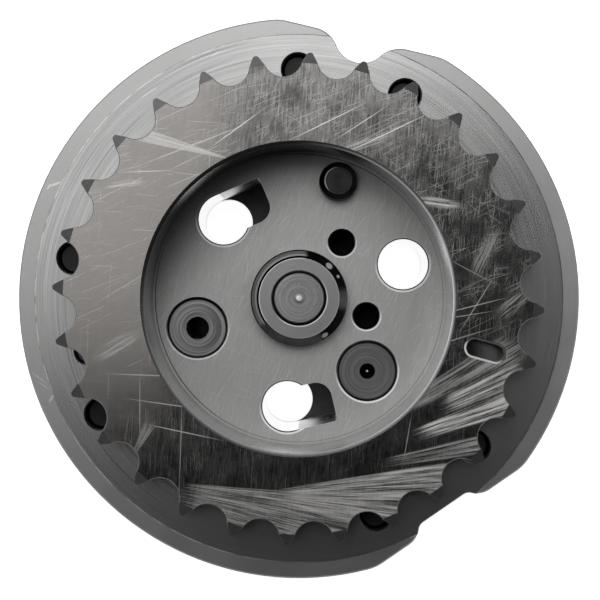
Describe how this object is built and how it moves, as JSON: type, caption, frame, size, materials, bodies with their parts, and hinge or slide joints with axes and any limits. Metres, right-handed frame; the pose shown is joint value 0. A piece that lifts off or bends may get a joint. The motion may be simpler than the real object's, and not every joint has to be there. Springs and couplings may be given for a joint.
{
  "type": "cam phaser",
  "caption": "Cam phaser: a chain sprocket on a sealed vane housing, around an oil-driven rotor that bolts to a camshaft, with a lock pin and small valves inside.",
  "frame": {"origin": "on the camshaft axis, level with the faces of the housing bolts' heads, which the part stands on", "axes": "+Z along the camshaft axis, out of the sprocket's face and towards the camshaft; +X to the right and +Y up as the picture is seen"},
  "size_m": [0.1026, 0.1024, 0.041],
  "materials": {
    "sprocket_steel": "ground and worn bright where it has rubbed",
    "sintered_steel": "dull sintered rim with a finely turned face",
    "rotor_steel": "fine brushed grey",
    "bolt_steel": "dark oiled",
    "pin_steel": "smooth hardened",
    "plug_steel": "turned, slightly glossy",
    "spring_steel": "drawn wire and strip",
    "seal_plastic": "matt dark"
  },
  "bodies": {
    "housing": {"sprocket": "sprocket_steel", "cover_plate": "sintered_steel", "vane_housing": "sintered_steel", "far_cover": "sintered_steel", "housing_bolts": "bolt_steel", "locating_pin": "pin_steel", "lock_pin_seat": "pin_steel", "web_seal_1": "seal_plastic", "web_seal_2": "seal_plastic", "web_seal_3": "seal_plastic", "web_seal_spring_1": "spring_steel", "web_seal_spring_2": "spring_steel", "web_seal_spring_3": "spring_steel"},
    "rotor": {"rotor": "rotor_steel", "dowel_pin": "pin_steel", "pilot_plug": "plug_steel", "check_valve_plug": "plug_steel", "check_valve_seat": "pin_steel", "centre_plug": "plug_steel", "spool_ring": "spring_steel", "lock_pin_cap": "plug_steel", "vane_seal_1": "seal_plastic", "vane_seal_2": "seal_plastic", "vane_seal_3": "seal_plastic", "vane_seal_spring_1": "spring_steel", "vane_seal_spring_2": "spring_steel", "vane_seal_spring_3": "spring_steel", "lock_pin_spring": "spring_steel", "spool_spring": "spring_steel", "pilot_spring": "spring_steel", "check_valve_spring": "spring_steel"},
    "lock_pin": {"lock_pin": "pin_steel"},
    "spool": {"spool": "pin_steel"},
    "pilot_piston": {"pilot_piston": "pin_steel"},
    "check_valve_ball": {"check_valve_ball": "pin_steel"}
  },
  "joints": [
    {"name": "rotor_swing", "type": "hinge", "parent": "housing", "child": "rotor", "pos_m": [0, 0, 0], "axis": [0, 0, 1], "range_deg": [-19.7, 3.3]},
    {"name": "lock_pin_slide", "type": "slide", "parent": "rotor", "child": "lock_pin", "axis": [0, 0, -1], "range_m": [0, 0.0025], "stiffness_N_per_m": 600, "springref_m": -0.005, "deforming": ["lock_pin_spring"]},
    {"name": "spool_slide", "type": "slide", "parent": "rotor", "child": "spool", "axis": [0, 0, 1], "range_m": [0, 0.003], "stiffness_N_per_m": 1500, "springref_m": -0.004, "deforming": ["spool_spring"]},
    {"name": "pilot_piston_slide", "type": "slide", "parent": "rotor", "child": "pilot_piston", "axis": [0, 0, 1], "range_m": [0, 0.003], "stiffness_N_per_m": 700, "springref_m": -0.004, "deforming": ["pilot_spring"]},
    {"name": "check_ball_slide", "type": "slide", "parent": "rotor", "child": "check_valve_ball", "axis": [0, 0, 1], "range_m": [0, 0.0012], "stiffness_N_per_m": 300, "springref_m": -0.002, "deforming": ["check_valve_spring"]}
  ]
}
